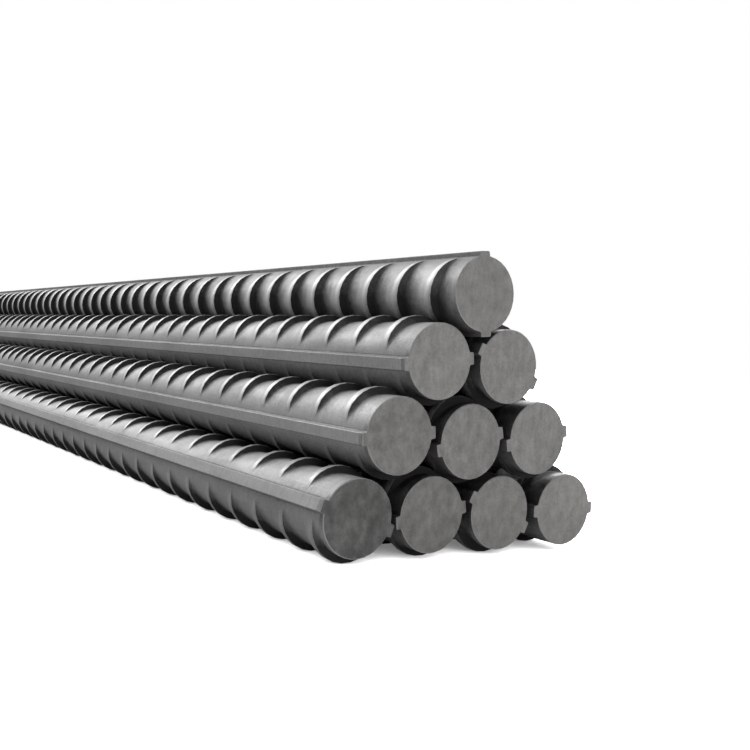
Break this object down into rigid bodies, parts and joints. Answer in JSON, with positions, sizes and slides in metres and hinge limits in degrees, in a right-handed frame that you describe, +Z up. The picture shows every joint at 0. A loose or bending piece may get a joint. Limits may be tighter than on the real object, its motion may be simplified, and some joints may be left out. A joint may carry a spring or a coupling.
{
  "type": "rebar bundle",
  "caption": "Pyramid pile of heavy ribbed steel reinforcing bars with sawn ends, each resting in the valley between two bars below.",
  "frame": {"origin": "on the floor, under the middle of the pile", "axes": "+Z up, +Y along the bars towards the far ends, +X to the right of someone who looks at the nearly flush ends along +Y"},
  "size_m": [0.2184, 6.0068, 0.1963],
  "materials": {
    "mill_steel": "hot-rolled mill finish with sawn ends"
  },
  "bodies": {
    "root": {"bottom_bar_1": "mill_steel", "bottom_bar_2": "mill_steel", "bottom_bar_3": "mill_steel", "bottom_bar_4": "mill_steel", "second_bar_1": "mill_steel", "second_bar_2": "mill_steel", "second_bar_3": "mill_steel", "third_bar_1": "mill_steel", "third_bar_2": "mill_steel", "top_bar": "mill_steel"}
  },
  "joints": []
}
